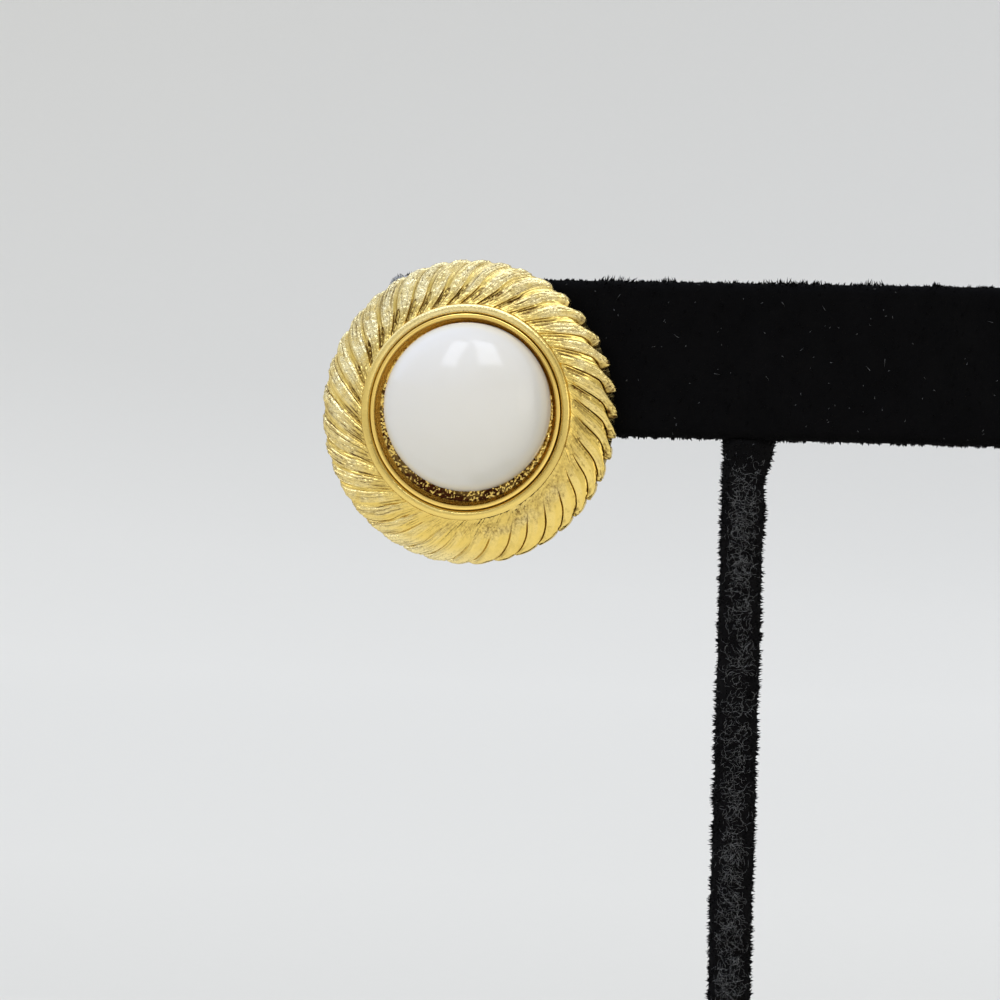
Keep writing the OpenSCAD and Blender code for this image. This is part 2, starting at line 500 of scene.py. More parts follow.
def band_grid(ribs, band):
    """The band's points before they are carved, by row and column, with the stretches that they lie in."""
    rng = np.random.default_rng(7)
    out, radius, level, lean = band_curve(band)
    t = np.tile(rib_columns(), ribs.count)[None, :]
    index = np.repeat(np.arange(ribs.count), RIB_COLUMNS)[None, :]
    pitch = 2 * math.pi / ribs.count
    even = ribs.turn + (index + t) * pitch
    jitter = np.append(rng.normal(0, 0.010, ribs.count), 0)
    jitter[-1] = jitter[0]
    placed = even + rib_drift(even) + blend(jitter[index], jitter[index + 1], t)
    # The clefts are swept hardest beside the rim and at the tips.
    bend = math.radians(1.2) * (1 - 0.8 * around(placed, 50, 60) - 0.75 * around(placed, 232, 75))
    angle = placed + ribs.sweep * out + bend * np.sin(2 * np.pi * out)
    return SimpleNamespace(
        out=out,
        radius=radius,
        level=level,
        lean=lean,
        t=t,
        rib_number=index + t,
        angle=angle,
        at=SimpleNamespace(**{name: around(angle, *place) for name, place in STRETCHES.items()}),
        across=(index + t) * pitch * 15 * MM + 0 * out,
        along=out * (TIP_R - band.rim_r) + 0 * t,
        per_rib=lambda low, high: rng.uniform(low, high, ribs.count)[index],
    )


def carve_clefts(b):
    """Finds how high each rib stands, its clefts, and the hollows and slots at its foot."""
    at, out, t = b.at, b.out, b.t
    # Clefts are cut beside the rim from the left to the top, and toward the tips on the right and below.
    inner_cleft = np.clip(0.6 * at.upper_left + 0.8 * at.top + 0.5 * at.left, 0, 1)
    inner_cleft = inner_cleft * (1 - ease(0.3, 0.5, out))
    outer_cleft = np.clip(1.6 * at.cleft_right, 0, 1) * ease(0.02, 0.44, out)
    outer_cleft = np.maximum(outer_cleft, 0.45 * at.cleft_low * ease(0.1, 0.3, out))
    soft = np.clip(1.2 - outer_cleft - 0.6 * inner_cleft, 0, 1)
    low = 0.62 - 0.2 * soft + 0.15 * at.right * (1 - out) - 0.14 * at.left - 0.42 * at.right * out**2
    narrow = np.clip(1.3 * at.right + 0.35 * at.top + 1.1 * at.left, 0, 1)
    rib = {
        "crest": b.per_rib(0.42, 0.58),
        "far": b.per_rib(0.68, 0.84),
        "low": np.clip(low, 0.12, 1),
        "soft": soft,
        "pocket": b.per_rib(0.29, 0.39) + 0.06 * at.top,
        "pocket_w": b.per_rib(0.48, 0.6) * blend(1, 0.3, narrow),
    }
    b.crest = rib["crest"]
    b.body, b.cleft = rib_section(t, rib)
    b.leaf = pocket_section(t, out, rib)
    b.sunken = np.clip(1.3 * at.upper_left + 0.55 * at.top + 0.35 * at.left - 0.15, 0, 1)
    b.hollow = b.leaf * b.sunken
    # At the upper right a thin slot or two is cut into the foot of each rib.
    second = (b.per_rib(0, 1) > 0.4) * bell(t, b.per_rib(0.38, 0.48), 0.045) * (1 - ease(0.25, 0.34, out))
    slot = bell(t, b.per_rib(0.14, 0.2), 0.05) * (1 - ease(0.38, 0.52, out)) + 0.9 * second
    b.slot = slot * ease(0.04, 0.1, out) * np.clip(1.3 * at.slots + 0.8 * at.left, 0, 1)
    b.inner_cleft, b.outer_cleft = inner_cleft, outer_cleft


def draw_lines(b):
    """Finds the fine lines along the ribs, which fade out over the smooth lobes at the bottom."""
    at, out = b.at, b.out
    still = 0 * b.along
    faint = grain(np.stack([b.across / 4, b.along, still], -1), 1.2 * MM, 6)
    streak = grain(np.stack([b.across, b.along / 7, still], -1), 0.3 * MM, 7)
    smooth = np.clip(1.2 * at.lobes + 0.4 * at.right, 0, 1) * blend(0.55, 1, ease(0.3, 0.6, out))
    b.lined = (1 - 0.9 * smooth) * (1 - 0.6 * b.cleft) * np.clip(out / 0.03, 0, 1)
    b.streak = streak * b.lined
    # Five even lines to a rib, each stronger or fainter along its way
    waver = 0.55 * grain(np.stack([b.across / 3, b.along, still], -1), 1.6 * MM, 8)
    b.engraved = np.cos(2 * np.pi * (5 * b.rib_number + waver)) * b.lined
    b.lively = 0.6 + 0.5 * grain(np.stack([b.across, b.along / 4, still], -1), 0.55 * MM, 9)
    b.cut = b.cleft * np.clip(0.15 * faint + b.inner_cleft + b.outer_cleft, 0.0, 1)


def sink_valleys(b, ribs, band):
    """Moves the points down into the valleys, and in between the tips."""
    at, out, t = b.at, b.out, b.t
    edge = ease(0.86, 1.0, out)
    flatter = at.flat * ease(0.3, 0.7, out)
    depth = blend(ribs.depth_in, ribs.depth_out, out) * np.clip(0.35 + out / 0.08, 0, 1)
    depth = depth * (1 + b.per_rib(-0.12, 0.12)) * (1 - 0.55 * at.left - 0.4 * at.shallow * (1 - 0.6 * out))
    depth = depth * (1 - 0.4 * flatter)
    sunk = (1 - b.body) * depth + b.cut * (0.24 + 0.2 * out * at.right) * MM
    sunk = sunk + (b.hollow * 0.13 + b.slot * 0.14) * MM
    radius = b.radius - ribs.tip_cut * (1 - b.body + 0.5 * b.cut) * edge * (1 - 0.45 * flatter)
    # On the right the tips stand apart, with a deep notch between each two.
    tooth = np.maximum(np.clip(1 - t / 0.7, 0, 1) ** 1.5, np.clip((t - 0.91) / 0.09, 0, 1))
    b.notch = tooth * np.maximum(at.teeth**0.7, 0.25 * at.right) * ease(0.66, 1.0, out)
    b.radius = radius - ribs.notch * b.notch
    # The ribs run into the rim, smoothest along the bottom.
    level = b.level - sunk * (1 - 0.8 * edge) + 0.08 * MM * (1 - ease(0.0, 0.13, out))
    short = rim_skirt(band, b.radius) - level
    b.level = level + at.skirt * 0.5 * (short + np.sqrt(short**2 + (0.05 * MM) ** 2))


def raise_grain(b, ribs):
    """Lifts and sinks the stippled ground by its grain, and roughens the tips."""
    at, out, t = b.at, b.out, b.t
    b.place = on_earring(b.radius * np.sin(b.angle), b.radius * np.cos(b.angle), b.level)
    b.fine = grain(b.place, 0.2 * MM, 1) + 0.7 * grain(b.place, 0.12 * MM, 2)
    coarse = grain(b.place, 0.6 * MM, 3)
    b.wave = grain(b.place, 1.9 * MM, 4)
    speckled = np.clip(0.22 + 0.95 * at.upper_left + 0.8 * at.left + 0.65 * at.speckled, 0, 1)
    start = b.crest - 0.1 - 0.18 * at.upper_left - 0.32 * at.wide_ground - 0.2 * at.speckled
    stipple = speckled * ease(start, start + 0.12, t) * (1 - ease(0.9, 0.97, t))
    inner = np.clip(0.5 * at.upper_left + 0.9 * at.rough_foot + 0.5 * at.left, 0, 1)
    stipple = np.maximum(stipple, (1 - ease(0.25, 0.55, out)) * inner * (0.6 + 0.6 * b.wave))
    stipple = stipple * (0.85 + 0.5 * coarse) * blend(1, 0.35, at.lower * ease(0.4, 0.8, out))
    b.stipple = np.clip(np.maximum(stipple, 0.9 * b.hollow), 0, 1)
    b.pits = np.clip(grain(b.place, 0.3 * MM, 5) - 0.45, 0, 1) * (0.3 + 0.7 * at.right)
    # At the upper left a thin bead runs along each side of the stippled bands, with a painted highlight on
    # it.
    bead = (bell(t, start, 0.045) + bell(t, 0.93, 0.035)) * at.upper_left * (1 - b.cleft) * (1 - b.hollow)
    # Just before each stippled band at the upper left lies a thin line of painted shade.
    b.beside = bell(t, start - 0.1, 0.035) * at.upper_left * ease(0.15, 0.35, out)
    lift = ribs.grain * (b.stipple * (b.fine + 0.5 * coarse) + 0.06 * b.fine) + ribs.streak * b.streak
    lift = lift + ribs.engraving * b.engraved * b.lively * (1 + 0.9 * at.left)
    lift = (lift + 0.075 * MM * bead - 0.16 * MM * b.pits + 0.016 * MM * b.wave) * np.clip(out / 0.03, 0, 1)
    b.ragged = ease(0.74, 0.9, out) * (0.15 + 0.85 * at.right) * (ease(0.6, 0.85, t) + 1 - ease(0.1, 0.25, t))
    # Nothing of the cast edge stands beyond the widest circle of the solid.
    b.radius = np.minimum(b.radius + lift * np.sin(b.lean) + 0.14 * MM * b.ragged * b.fine, TIP_R)
    b.level = b.level + lift * np.cos(b.lean)

    # The ground mask is the paler stippled ground, with painted highlights on the outer edge at the top and
    # bottom and on the beads; the yellow stretches take less of both.
    yellow = np.clip(0.5 * at.yellow_left + 0.3 * at.yellow_right, 0, 1)
    whitish = b.stipple * (1 - 0.9 * b.hollow) * blend(0.15, 1, ease(0.1, 0.45, out)) * (1 - yellow)
    painted_sheen = np.clip(at.worn_top + at.worn_low, 0, 1) * (1 - 0.6 * yellow)
    whitish = np.maximum(whitish, 0.75 * painted_sheen * ease(0.5, 0.95, out))
    b.whitish = np.maximum(whitish, 0.85 * bead * ease(0.2, 0.45, out))


def band_tarnish(b):
    """How brown or dark each point is, from 0 to 1: patina, with painted shade in the notches, in the clefts
    on the right and beside the stippled bands at the upper left.
    """
    at, out, t, fine = b.at, b.out, b.t, b.fine
    edge_of_hollow = np.clip(4 * b.leaf * (1 - b.leaf), 0, 1) * b.sunken**2
    brown = ease(0.12, 0.2, t) * (1 - ease(0.36, 0.46, t)) * ease(0.04, 0.1, out) * (1 - ease(0.3, 0.45, out))
    # The foot of the ribs is pitted and dull along the bottom.
    dull = ease(0.03, 0.1, out) * (1 - ease(0.25, 0.6, out)) * at.dull_foot
    dull = dull * np.clip(0.7 + 0.8 * b.wave, 0, 1)
    scored = 0.5 * (1 - 0.5 * at.lower) + 0.4 * at.scored_top + 0.2 * at.left
    scored = scored + 0.3 * at.scored_left + 0.4 * at.scored_low
    dark_places = (
        # Patina in the clefts, darker on the right as painted shade
        (0.75 + 0.25 * at.right) * b.cut**1.3 * (0.95 + 0.3 * fine),
        b.hollow * (0.62 - 0.25 * at.bright_hollows - 0.7 * fine) + edge_of_hollow,
        1.8 * b.ragged * np.clip(0.2 - fine, 0, 0.5),
        b.slot,
        brown * np.clip(1.3 * at.slots, 0, 1) * (0.36 - 0.3 * fine),
        # Painted shade in the notches between the tips
        1.3 * b.notch,
        dull * np.clip(0.2 - 0.9 * grain(b.place, 0.15 * MM, 11), 0, 0.48),
        scored * ease(0.6, 0.95, -b.engraved) * ease(0.55, 0.95, b.lively),
        # A line of painted shade beside each stippled band at the upper left
        b.beside * np.clip(0.35 + 0.35 * b.lively, 0, 0.8),
    )
    tarnish = functools.reduce(np.maximum, dark_places)
    tarnish = tarnish + b.stipple * np.clip(-fine - 0.15, 0, 1) * (0.22 + 0.12 * at.upper_left) + 1.1 * b.pits
    # A thin brown film, where the gold has worn dull
    film = 0.2 * at.film_right * (1 - ease(0.3, 0.6, out)) + 0.07 * at.film_low + 0.11 * at.film_left
    film = film + 0.15 * at.film_top * ease(0.05, 0.3, out) * (1 - ease(0.6, 0.9, out))
    return np.clip(tarnish + film * np.clip(1 - 0.8 * fine, 0.3, 2), 0, 1)


def band_form(ribs, band):
    """Points of the fluted band by row and column, with the masks that its material reads."""
    b = band_grid(ribs, band)
    carve_clefts(b)
    draw_lines(b)
    sink_valleys(b, ribs, band)
    raise_grain(b, ribs)
    masks = {
        # The ground mask carries painted highlights as well as the stippled ground.
        "ground": b.whitish,
        "tarnish": band_tarnish(b),
        "lined": b.lined * (1 - b.hollow),
        "strand": b.across,
        "reach": b.along,
    }
    return b.angle, b.radius, b.level, masks


def rim_profile(band):
    """The smooth rim's section, as radius and height, from inside the bore to the foot of the band."""
    mid = (band.bore_r + band.rim_r) / 2
    half = (band.rim_r - band.bore_r) / 2
    crown = 0.42 * MM
    turn = np.radians(np.linspace(152, 12, 13))
    radius = mid + half * np.cos(turn)
    height = RIM_H - crown + crown * np.sin(turn) ** 0.8
    # Below the groove the bore closes on the cup's lip.
    close_r = band.lip_r + 0.02 * MM
    wall = [(close_r, 1.9 * MM), (close_r, RIM_H - 0.36 * MM), (close_r + 0.09 * MM, RIM_H - 0.3 * MM)]
    return wall + list(zip(radius, height))


def back_profile():
    """The back of the band, as radius, height and share of the sweep, from the tips to the bore."""
    edge = TIP_R - 0.75 * MM
    return [
        (TIP_R - 0.16 * MM, 0.85 * MM, 1),
        (TIP_R - 0.41 * MM, 0.45 * MM, 1),
        (edge, 0.0, 1),
        (edge - 0.7 * MM, 0.0, 1),
        (edge - 1.33 * MM, 0.9 * MM, 0.7),
        (edge - 2.6 * MM, 1.5 * MM, 0.4),
        (12.6 * MM, 1.9 * MM, 0),
    ]


def build_fluted_frame(ribs, band, material):
    """The band: its rim, its carved ribs and its hollow back, as one closed form."""
    angle, radius, level, masks = band_form(ribs, band)
    columns = angle.shape[1]
    clock = angle[0]
    flat = np.zeros(columns)
    rim = [(clock, flat + r, flat + h) for r, h in rim_profile(band)]
    in_bore = 4
    # Outside the bore the rim is cast, and not quite even.
    for k in range(in_bore, len(rim)):
        _, r, h = rim[k]
        place = turned(clock, r, h)
        dent = 0.022 * grain(place, 0.9 * MM, 10) + 0.01 * grain(place, 0.25 * MM, 14)
        short = np.clip(rim_skirt(band, r) - h, 0, None) * (r > (band.rim_r + band.bore_r) / 2)
        rim[k] = (clock, r, np.minimum(h + dent * MM + short * around(clock, *STRETCHES["skirt"]), RIM_H))
    form = [(angle[k], radius[k], level[k]) for k in range(BAND_ROWS)]
    back = []
    for r, h, share in back_profile():
        # Behind the tips the back follows their scalloped edge.
        cut = (TIP_R - radius[-1]) if share == 1 and h > 0 else 0
        back.append((clock + (angle[-1] - clock) * share, flat + r - cut, flat + h))
    verts = turned(*(np.array(part) for part in zip(*rim, *form, *back))).reshape(-1, 3)
    faces = ring_faces(len(verts) // columns, columns, close=True)[:, ::-1]
    # Brown lies in the bore and at the rim's foot, and the back is satin. Shade is painted on the rim at the
    # right and the lower left, and a painted highlight lies pale on the rim round the top.
    brown_and_painted_shade = np.zeros((len(rim), 1))
    brown_and_painted_shade[:in_bore, 0] = 0.8, 0.8, 0.55, 0.15
    brown_and_painted_shade[-1, 0] = 0.1
    brown_and_painted_shade = brown_and_painted_shade + 0.22 * around(clock, 112, 45) + 0.13 * around(clock, 248, 40)
    before = {"ground": 0.08 + 0.5 * around(clock, 350, 85), "tarnish": brown_and_painted_shade}
    behind = {"ground": 0.5, "tarnish": 0.25}
    plain, satin = np.ones((len(rim), columns)), np.ones((len(back), columns))
    masks = {
        name: np.concatenate([before.get(name, 0) * plain, mask, behind.get(name, 0) * satin])
        for name, mask in masks.items()
    }
    settle("band", new_mesh("band", verts, faces, masks), material, "fluted_frame")


# The cup


def build_stone_cup(band, material):
    """The setting: flange, rolled lip, sloping wall and stippled floor."""
    columns = 760
    a = circle(columns)
    lip_half = (band.lip_r - band.lip_inner_r) / 2
    seat_r, hollow_r, body_r, flange_r = 8.3 * MM, 9.0 * MM, 10.4 * MM, 12.1 * MM
    hollow_h, flange_back, flange_front = 2.1 * MM, 1.4 * MM, 1.9 * MM
    # Each row is a radius, a height, how tarnished it is and how stippled; a stippled row also takes the cup
    # wall tone, a painted reflection.
    rows = [(hollow_r, hollow_h, 0, 0), (body_r, hollow_h, 0, 0), (body_r, flange_back, 0, 0)]
    rows += [(flange_r, flange_back, 0, 0), (flange_r, flange_front, 0, 0), (band.lip_r, flange_front, 0, 0)]
    rows += [(band.lip_r, LIP_H - 0.6 * MM, 0.8, 0), (band.lip_r, LIP_H - 0.24 * MM, 0.4, 0)]
    for k in np.radians(np.linspace(0, 168, 12)):
        drop = (0.16 if k < math.pi / 2 else 0.27) * MM * (1 - math.sin(k) ** 0.7)
        rows.append((band.lip_r - lip_half * (1 - math.cos(k)), LIP_H - drop, 0, 0))
    # The sloping wall takes 0.6 of the cup wall tone, a painted reflection.
    for k in np.linspace(0, 1, 7):
        radius = blend(band.lip_inner_r - 0.02 * MM, band.floor_r, k**1.1)
        rows.append((radius, blend(LIP_H - 0.3 * MM, FLOOR_H, k), 0.1 * k, 0.6))
    floor_start = len(rows)
    rows += [(r, FLOOR_H, 1, 0) for r in np.linspace(band.floor_r - 0.06 * MM, seat_r, 28)]
    r, h, deep, ground = by_column(rows, columns)
    place = turned(a, r, h)
    fine = grain(place, 0.17 * MM, 11) + 0.7 * grain(place, 0.11 * MM, 12)
    # The floor is pitted down from the stone's seat, never above it.
    floor = np.arange(len(rows))[:, None] >= floor_start
    h = h - floor * np.clip(0.35 - fine, 0, 1.4) * 0.1 * MM * ease(seat_r, seat_r + 0.3 * MM, r)
    # Bright grains stand out of the dark floor, fewer of them at the bottom.
    bare = -1.3 + 1.65 * around(a, 205, 150) ** 0.7
    dirt = 1 - 0.95 * ease(bare, bare + 0.3, fine)
    tarnish = np.clip(np.where(floor, dirt, 0.75 * deep), 0, 1)
    centres = on_earring(np.zeros(2), np.zeros(2), np.array([hollow_h, FLOOR_H]))
    verts = np.concatenate([turned(a, r, h).reshape(-1, 3), centres])
    masks = {"ground": np.append(ground, (0, 0)), "tarnish": np.append(tarnish, (0, 0))}
    mesh = new_mesh("stone_setting", verts, lathe_faces(len(rows), columns, True), masks)
    settle("stone_setting", mesh, material, "stone_cup")


# The stone


def build_stone(material):
    """The domed stone: a flatter crown that runs into a rounder shoulder, and a short straight girdle."""
    u0, _, v0 = (STONE_LOW + STONE_HIGH) / 2 - MIDDLE
    radius = float(STONE_HIGH[0] - STONE_LOW[0]) / 2
    shoulder_r = 5.2 * MM
    girdle_h = FLOOR_H + 1.5 * MM
    gain = STONE_H - girdle_h - shoulder_r
    shoulder_at = radius - shoulder_r
    drop = (shoulder_at**2 - gain**2) / (2 * gain)
    crown_r = STONE_H - girdle_h + drop
    crown_turn = math.atan2(shoulder_at, drop)
    rows = [
        (crown_r * math.sin(k), girdle_h - drop + crown_r * math.cos(k))
        for k in np.linspace(0.02, crown_turn, 30)
    ]
    rows += [
        (shoulder_at + shoulder_r * math.sin(k), girdle_h + shoulder_r * math.cos(k))
        for k in np.linspace(crown_turn, math.pi / 2, 24)[1:]
    ]
    rows += [(radius, girdle_h - 0.6 * MM), (radius, FLOOR_H + 0.3 * MM)]
    rows += [(radius - 0.08 * MM, FLOOR_H + 0.1 * MM), (radius - 0.25 * MM, FLOOR_H)]
    columns = 192
    a = circle(columns)
    r, h = by_column(rows, columns)
    verts = on_earring(u0 + r * np.sin(a), v0 + r * np.cos(a), h).reshape(-1, 3)
    centres = on_earring(u0 + np.zeros(2), v0 + np.zeros(2), np.array([STONE_H, FLOOR_H]))
    mesh = new_mesh("stone", np.concatenate([verts, centres]), lathe_faces(len(rows), columns, False))
    settle("stone", mesh, material, "cabochon")


# The ear clip


def clip_strip():
    """Side outline of the arm and leaf, as heights toward the viewer and up, without its rounding."""
    metal = 0.9 * MM
    bar_under = float(BAR_LOW[2] - MIDDLE[2])
    arm_top = bar_under - 0.4 * MM
    arm_under = arm_top - metal
    leaf_front = LEAF_H + metal
    arm_front = 1.65 * MM
    leaf_top = 6 * MM
    inner, outer = 0.8 * MM, 1.7 * MM
    bend_out = [
        (LEAF_H + outer * (1 - math.cos(k)), arm_under + outer * (1 - math.sin(k)))
        for k in np.linspace(0, math.pi / 2, 9)
    ]
    bend_in = [
        (leaf_front + inner * (1 - math.cos(k)), arm_top + inner * (1 - math.sin(k)))
        for k in np.linspace(math.pi / 2, 0, 7)
    ]
    return [
        (LEAF_H, leaf_top),
        *bend_out,
        (arm_front, arm_under),
        (arm_front, arm_top),
        *bend_in,
        (leaf_front, leaf_top),
    ]


def add_prism(bm, *ends):
    """A closed solid between two rings of points, added to bm."""
    first, last = ([bm.verts.new(point) for point in ring] for ring in ends)
    bm.faces.new(first)
    bm.faces.new(last[::-1])
    for i in range(len(first)):
        k = (i + 1) % len(first)
        bm.faces.new((first[i], last[i], last[k], first[k]))


def build_ear_clip(material):
    """The clip: a bent strip, with a foot on the earring and a pad on the leaf."""
    half = 2.3 * MM
    outline = clip_strip()
    bm = bmesh.new()
    add_prism(bm, *([on_earring(u, v, w) for w, v in outline] for u in (-half, half)))
    # Each disc is a place over the middle, a back, a front and a radius. The leaf lies proud of its pad.
    turn = circle(64)
    foot, pad = (-4 * MM, 1.2 * MM, 2.1 * MM, 5.5 * MM), (6 * MM, LEAF_H + 0.2 * MM, -6.0 * MM, 4.5 * MM)
    for v0, back, front, r in (foot, pad):
        u, v = r * np.sin(turn), v0 + r * np.cos(turn)
        add_prism(bm, *(on_earring(u, v, w + 0 * turn) for w in (back, front)))
    bmesh.ops.recalc_face_normals(bm, faces=bm.faces)
    sharp = [e for e in bm.edges if e.is_manifold and e.calc_face_angle(0) > math.radians(40)]
    bmesh.ops.bevel(bm, geom=sharp, offset=0.14 * MM, segments=3, profile=0.5, affect="EDGES")
    mesh = bpy.data.meshes.new("clip")
    bm.to_mesh(mesh)
    bm.free()
    smooth(mesh)
    mesh.set_sharp_from_angle(angle=math.radians(35))
    settle("clip", mesh, material, "ear_clip")


# Velvet


def spikes(roots, ways, widths, rng):
    """Verts and faces of slim closed spikes, one per root, each as long as its way."""
    n = len(roots)
    side = np.cross(ways, rng.normal(size=(n, 3)))
    side /= np.linalg.norm(side, axis=1)[:, None]
    other = np.cross(ways, side)
    other /= np.linalg.norm(other, axis=1)[:, None]
    verts = np.empty((n, 4, 3))
    for k in range(3):
        a = 2 * math.pi * k / 3
        verts[:, k] = roots + (side * math.cos(a) + other * math.sin(a)) * (widths[:, None] / 2)
    verts[:, 3] = roots + ways
    first = np.arange(n)[:, None] * 4
    faces = np.concatenate([first + corners for corners in ([0, 1, 3], [1, 2, 3], [2, 0, 3], [2, 1, 0])])
    return verts.reshape(-1, 3), faces


def scatter(cloth, count, rng, weight):
    """Random points on a cloth of verts and quads, with their normals, as densely as weight says."""
    verts, faces = cloth
    quads = verts[faces]
    normal = np.cross(quads[:, 2] - quads[:, 0], quads[:, 3] - quads[:, 1])
    area = np.linalg.norm(normal, axis=1)
    normal = normal / np.maximum(area, 1e-12)[:, None]
    share = area * weight(quads.mean(1), normal)
    pick = rng.choice(len(faces), count, p=share / share.sum())
    x, y = rng.random((2, count, 1))
    q = quads[pick]
    return (q[:, 0] * (1 - x) + q[:, 1] * x) * (1 - y) + (q[:, 3] * (1 - x) + q[:, 2] * x) * y, normal[pick]


def pile(cloth, count, sizes, teeth, stray, reach, weight, seed):
    """Verts and faces of a pile in small tufts, with a share of stray fibres up to reach times as long."""
    rng = np.random.default_rng(seed)
    roots, normals = scatter(cloth, count, rng, weight)
    # The pile is combed askew from front to back, so that its edges are toothed.
    drawn = np.column_stack([roots[:, 0] + 0.27 * roots[:, 1], 0.02 * roots[:, 1], roots[:, 2]])
    tuft = grain(drawn, 0.19 * MM, seed)
    patch = ease(-0.4, 0.4, grain(drawn, 2.4 * MM, seed + 1)) * ease(-0.2, 0.6, normals[:, 2])
    lengths = sizes.pile * (0.14 + teeth * np.clip(tuft, -0.2, 1) + rng.uniform(0, 0.1, count))
    tall = rng.random(count) < stray * (1 + 4 * patch)
    lengths = np.where(tall, sizes.pile * rng.uniform(0.5 * reach, reach * (1 + patch), count), lengths)
    nap = np.stack([grain(drawn, 3 * MM, seed + k) for k in (2, 3, 4)], -1)
    lean = np.stack([grain(drawn, 0.4 * MM, seed + k) for k in (5, 6, 7)], -1)
    ways = normals + rng.normal(0, 0.2, (count, 3)) + 0.35 * nap + 0.5 * lean
    ways *= (lengths / np.linalg.norm(ways, axis=1))[:, None]
    widths = np.where(tall, 1.9, 1.0) * sizes.fibre
    return spikes(roots - 0.03 * MM * normals, ways, widths, rng)


class HairSize:
    """Sizes of one kind of loose hair: length from and to, width, and height over the cloth, in mm."""

    def __init__(self, shortest, longest, width, lie):
        self.lengths = (shortest * MM, longest * MM)
        self.width = width * MM
        self.lie = lie * MM


def hairs(cloth, count, size, weight, seed):
    """Verts and faces of pale straight hairs that lie on the pile."""
    rng = np.random.default_rng(seed)
    roots, normals = scatter(cloth, count, rng, weight)
    ways = np.cross(normals, rng.normal(size=(count, 3)))
    ways /= np.linalg.norm(ways, axis=1)[:, None]
    ways = (ways + 0.25 * normals * rng.normal(size=(count, 1))) * rng.uniform(*size.lengths, (count, 1))
    return spikes(roots + size.lie * normals, ways, np.full(count, size.width), rng)


def curls(cloth, count, size, weight, axis, seed):
    """Verts and faces of fine bent hairs that lie round a post with the given axis."""
    rng = np.random.default_rng(seed)
    roots, _ = scatter(cloth, count, rng, weight)
    steps, sides = 5, 3
    step = rng.uniform(*size.lengths, count) / steps
    heading = rng.uniform(0, 2 * np.pi, count)
    bend = rng.normal(0, 0.3, count)
    away = roots[:, :2] - axis
    turn = np.arctan2(away[:, 1], away[:, 0])
    root_r = np.linalg.norm(away, axis=1)
    z = roots[:, 2].copy()
    points = []
    for k in range(steps + 1):
        r = root_r + size.lie * (0.3 + math.sin(math.pi * k / steps))
        thin = size.width * (1 - 0.5 * abs(2 * k / steps - 1))
        for j in range(sides):
            b = 2 * math.pi * j / sides
            rise = thin / 2 * math.cos(b)
            side = thin / 2 * math.sin(b)
            a = turn - side * np.sin(heading) / r
            x, y = axis[0] + (r + rise) * np.cos(a), axis[1] + (r + rise) * np.sin(a)
            points.append(np.stack([x, y, z + side * np.cos(heading)], -1))
        turn = turn + step * np.cos(heading) / root_r
        z = z + step * np.sin(heading)
        heading = heading + bend
    first = np.arange(count)[:, None, None] * len(points)
    ends = np.array([[0, 2, 1], [sides * steps, sides * steps + 1, sides * steps + 2]])
    walls = (ring_faces(steps + 1, sides)[None] + first).reshape(-1, 4)
    return np.stack(points, 1).reshape(-1, 3), [*walls, *(ends[None] + first).reshape(-1, 3)]


def settle_velvet(name, body, fibres, lint, material, node):
    """Settles a velvet-covered piece: its body, the pile that stands on it and the pale hairs on it, which
    are lint and in places painted sheen.
    """
    verts, faces, caps = body
    faces = [*faces, *caps]
    points, pale, tip = [verts], [np.zeros(len(verts))], [np.zeros(len(verts))]
    start = len(verts)
    for tone, (verts, part) in [(0.0, fibres), *lint]:
        points.append(verts)
        faces += [tuple(i + start for i in f) for f in part]
        start += len(verts)
        pale.append(np.full(len(verts), tone))
        tip.append(np.tile([0.0, 0.0, 0.0, 1.0], len(verts) // 4 + 1)[: len(verts)])
    masks = {"lint": np.concatenate(pale), "fibre_tip": np.concatenate(tip)}
    settle(name, new_mesh(name, np.concatenate(points), faces, masks), material, node)


def rounded_outline(w, h, r, per_side):
    """A rounded rectangle as points, counter-clockwise, with points along its straight sides."""
    steps = 6
    x, y = w / 2 - r, h / 2 - r
    arcs = []
    for quarter, middle in enumerate([(x, y), (-x, y), (-x, -y), (x, -y)]):
        turn = np.radians(90 * quarter + 90 * np.arange(steps + 1) / steps)
        arcs.append(middle + r * np.stack([np.cos(turn), np.sin(turn)], -1))
    points = []
    for quarter, arc in enumerate(arcs):
        cells = per_side[quarter % 2]
        following = arcs[(quarter + 1) % 4]
        points += [arc, blend(arc[-1], following[0], np.arange(1, cells)[:, None] / cells)]
    return np.concatenate(points)


def drawn_in(outline, w, h, r, inset):
    """The outline drawn in evenly by inset."""
    corner = np.array([w / 2 - r, h / 2 - r])
    centre = np.clip(outline, -corner, corner)
    away = outline - centre
    size = np.maximum(np.linalg.norm(away, axis=1)[:, None], 1e-9)
    return centre + away * (1 - inset / size)


def slab(w, h, r, length, spans, per_side):
    """A rounded rectangle drawn out along its third axis, with softened ends: verts, faces and caps."""
    outline = rounded_outline(w, h, r, per_side)
    edge = 0.9 * MM
    soft = [(edge * (1 - math.sin(k)), edge * (1 - math.cos(k))) for k in np.linspace(0, math.pi / 2, 5)]
    places = soft + [(0.0, edge + (length - 2 * edge) * k / spans) for k in range(1, spans)]
    places += [(inset, length - place) for inset, place in soft[::-1]]
    rings = [
        np.column_stack([drawn_in(outline, w, h, r, inset), np.full(len(outline), place)])
        for inset, place in places
    ]
    columns = len(outline)
    return np.concatenate(rings), ring_faces(len(rings), columns), end_caps(len(rings), columns)


